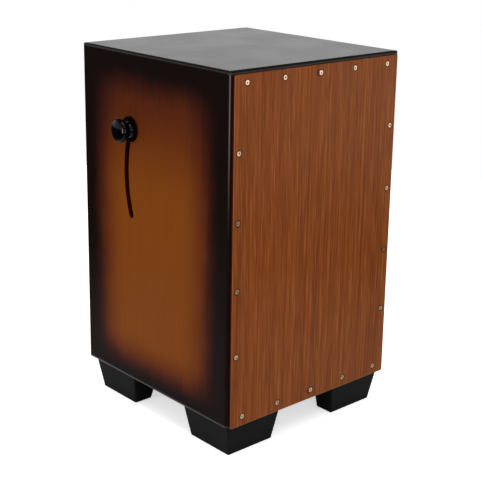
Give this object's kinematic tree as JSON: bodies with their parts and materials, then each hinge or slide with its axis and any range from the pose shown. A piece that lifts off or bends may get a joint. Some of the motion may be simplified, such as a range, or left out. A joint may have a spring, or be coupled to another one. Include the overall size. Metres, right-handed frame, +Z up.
{
  "type": "cajon",
  "caption": "Wooden box drum to sit on, with a screwed-on striking plate, a rear sound port, block feet and a snare lever worked by a side knob.",
  "frame": {"origin": "on the floor, under the middle of the box, level with the soles of the feet", "axes": "+Z up; -Y out of the striking plate, towards the listener; +Y out of the sound port; the snare knob is on the -X side"},
  "size_m": [0.318, 0.304, 0.5],
  "materials": {
    "black_lacquered_board": "satin",
    "burst_lacquered_board": "satin",
    "striped_veneer": "satin",
    "bare_pine": "matte",
    "bare_beech": "matte",
    "nickel_steel": "satin",
    "zinc_steel": "satin",
    "snare_wire": "gloss",
    "black_moulding": "matte",
    "black_gloss_moulding": "gloss",
    "nylon": "satin",
    "black_felt": "matte",
    "brass": "satin"
  },
  "bodies": {
    "case": {"seat_panel": "black_lacquered_board", "base_panel": "black_lacquered_board", "left_side_panel": "burst_lacquered_board", "right_side_panel": "burst_lacquered_board", "rear_panel": "burst_lacquered_board", "tapa": "striped_veneer", "front_rail_top": "bare_pine", "front_rail_bottom": "bare_pine", "front_stile_left": "bare_pine", "front_stile_right": "bare_pine", "tapa_screws": "nickel_steel", "foot_front_left": "black_moulding", "foot_front_right": "black_moulding", "foot_rear_left": "black_moulding", "foot_rear_right": "black_moulding", "foot_screws": "zinc_steel", "pivot_bush_left": "nylon", "pivot_bush_right": "nylon"},
    "lever": {"snare_dowel": "bare_beech", "pivot_pin_left": "zinc_steel", "pivot_pin_right": "zinc_steel", "lever_arm": "zinc_steel", "lever_screws": "zinc_steel", "lever_stud": "zinc_steel", "lever_nut": "zinc_steel", "slide_washer": "nylon", "snare_strands_left": "snare_wire", "snare_strands_centre": "snare_wire", "snare_strands_right": "snare_wire", "snare_plate_left": "zinc_steel", "snare_plate_centre": "zinc_steel", "snare_plate_right": "zinc_steel", "snare_screws": "zinc_steel"},
    "washer": {"felt_washer": "black_felt"},
    "knob": {"snare_knob": "black_gloss_moulding", "knob_insert": "brass"}
  },
  "joints": [
    {"name": "snare_swing", "type": "hinge", "parent": "case", "child": "lever", "pos_m": [0, -0.121, 0.3412], "axis": [-1, 0, 0], "range_deg": [0, 38.2]},
    {"name": "washer_lift", "type": "slide", "parent": "lever", "child": "washer", "axis": [-1, 0, 0], "range_m": [0, 0.001]},
    {"name": "knob_turn", "type": "hinge", "parent": "washer", "child": "knob", "pos_m": [-0.152, 0.04626, 0.39912], "axis": [-1, 0, 0], "range_deg": [0, 360]}
  ],
  "couplings": [
    {"joint": "washer_lift", "follows": "knob_turn", "m_per_rad": 0.00015915}
  ]
}
